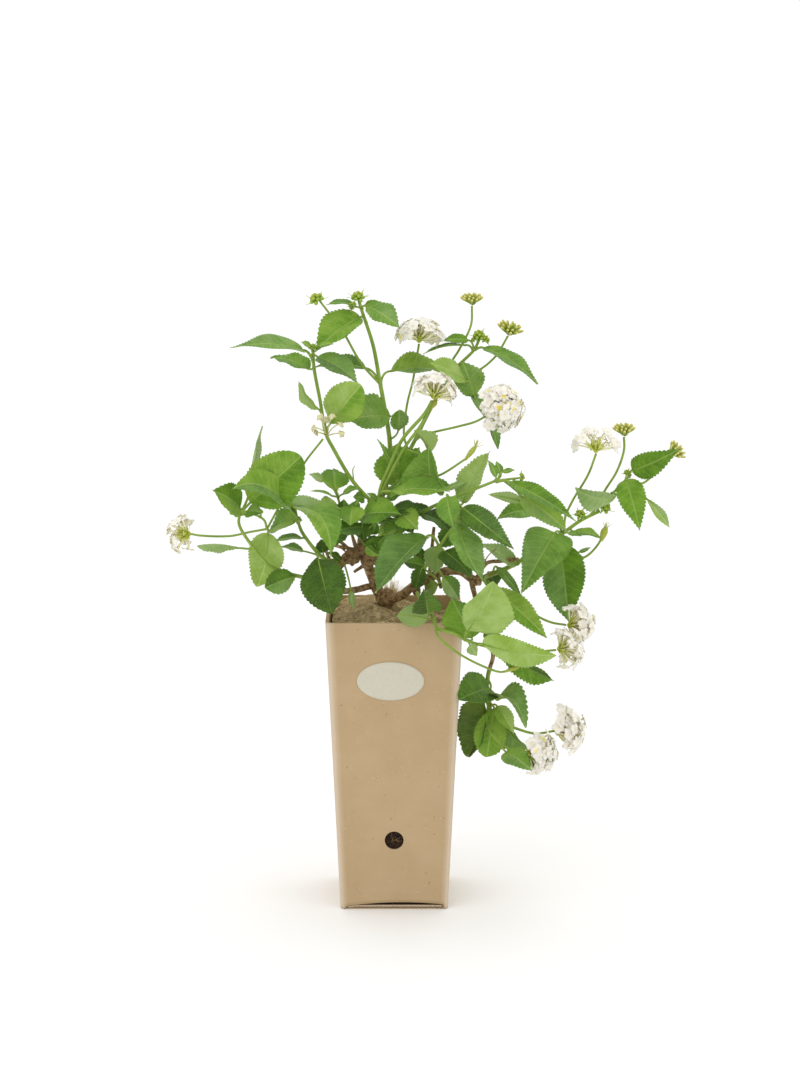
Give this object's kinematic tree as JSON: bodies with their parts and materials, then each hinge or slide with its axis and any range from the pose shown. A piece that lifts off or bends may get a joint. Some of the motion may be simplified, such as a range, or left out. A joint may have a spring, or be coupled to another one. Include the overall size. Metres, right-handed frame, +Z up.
{
  "type": "potted lantana",
  "caption": "Potted white lantana: leafy shoots and flower heads on old woody stems, in a tall folded cardboard pot with a fibre mulch mat.",
  "frame": {"origin": "middle of the pot's underside, on the surface it stands on", "axes": "+Z up along the pot and the plant; the panel with the label and the hole faces -Y; +X to the right of that panel"},
  "size_m": [0.3808, 0.1567, 0.4578],
  "materials": {
    "cardboard": "matt unbleached corrugated board",
    "label_paper": "smooth paper",
    "soil": "dark potting soil with roots",
    "coir": "loose brown plant fibre",
    "bark": "rough grey-brown bark",
    "leaf_green": "rough hairy leaf",
    "petal_white": "soft white petals",
    "petal_cream": "soft cream buds",
    "withered": "dry withered petals"
  },
  "bodies": {
    "root": {"pot_sleeve": "cardboard", "pot_bottom": "cardboard", "pot_label": "label_paper", "root_ball": "soil", "fibre_mat": "coir", "woody_stems": "bark", "shoot_left_tall": "leaf_green", "shoot_main": "leaf_green", "shoot_centre": "leaf_green", "shoot_upper_right": "leaf_green", "shoot_right_centre": "leaf_green", "shoot_inner_left": "leaf_green", "shoot_left_outer": "leaf_green", "shoot_left_inner": "leaf_green", "shoot_front_centre": "leaf_green", "shoot_right": "leaf_green", "shoot_front_low": "leaf_green", "shoot_hanging": "leaf_green", "bloom_top": "petal_white", "bloom_pink": "petal_white", "bloom_middle": "petal_white", "bloom_far_left": "petal_white", "bloom_right_low": "petal_white", "bloom_right_under": "petal_white", "bloom_right_high": "petal_white", "bloom_hanging_low": "petal_white", "bloom_hanging_high": "petal_white", "bud_head_top": "petal_cream", "bud_head_top_right": "petal_cream", "bud_head_right": "petal_cream", "bud_head_far_right": "petal_cream", "withered_head": "withered"}
  },
  "joints": []
}
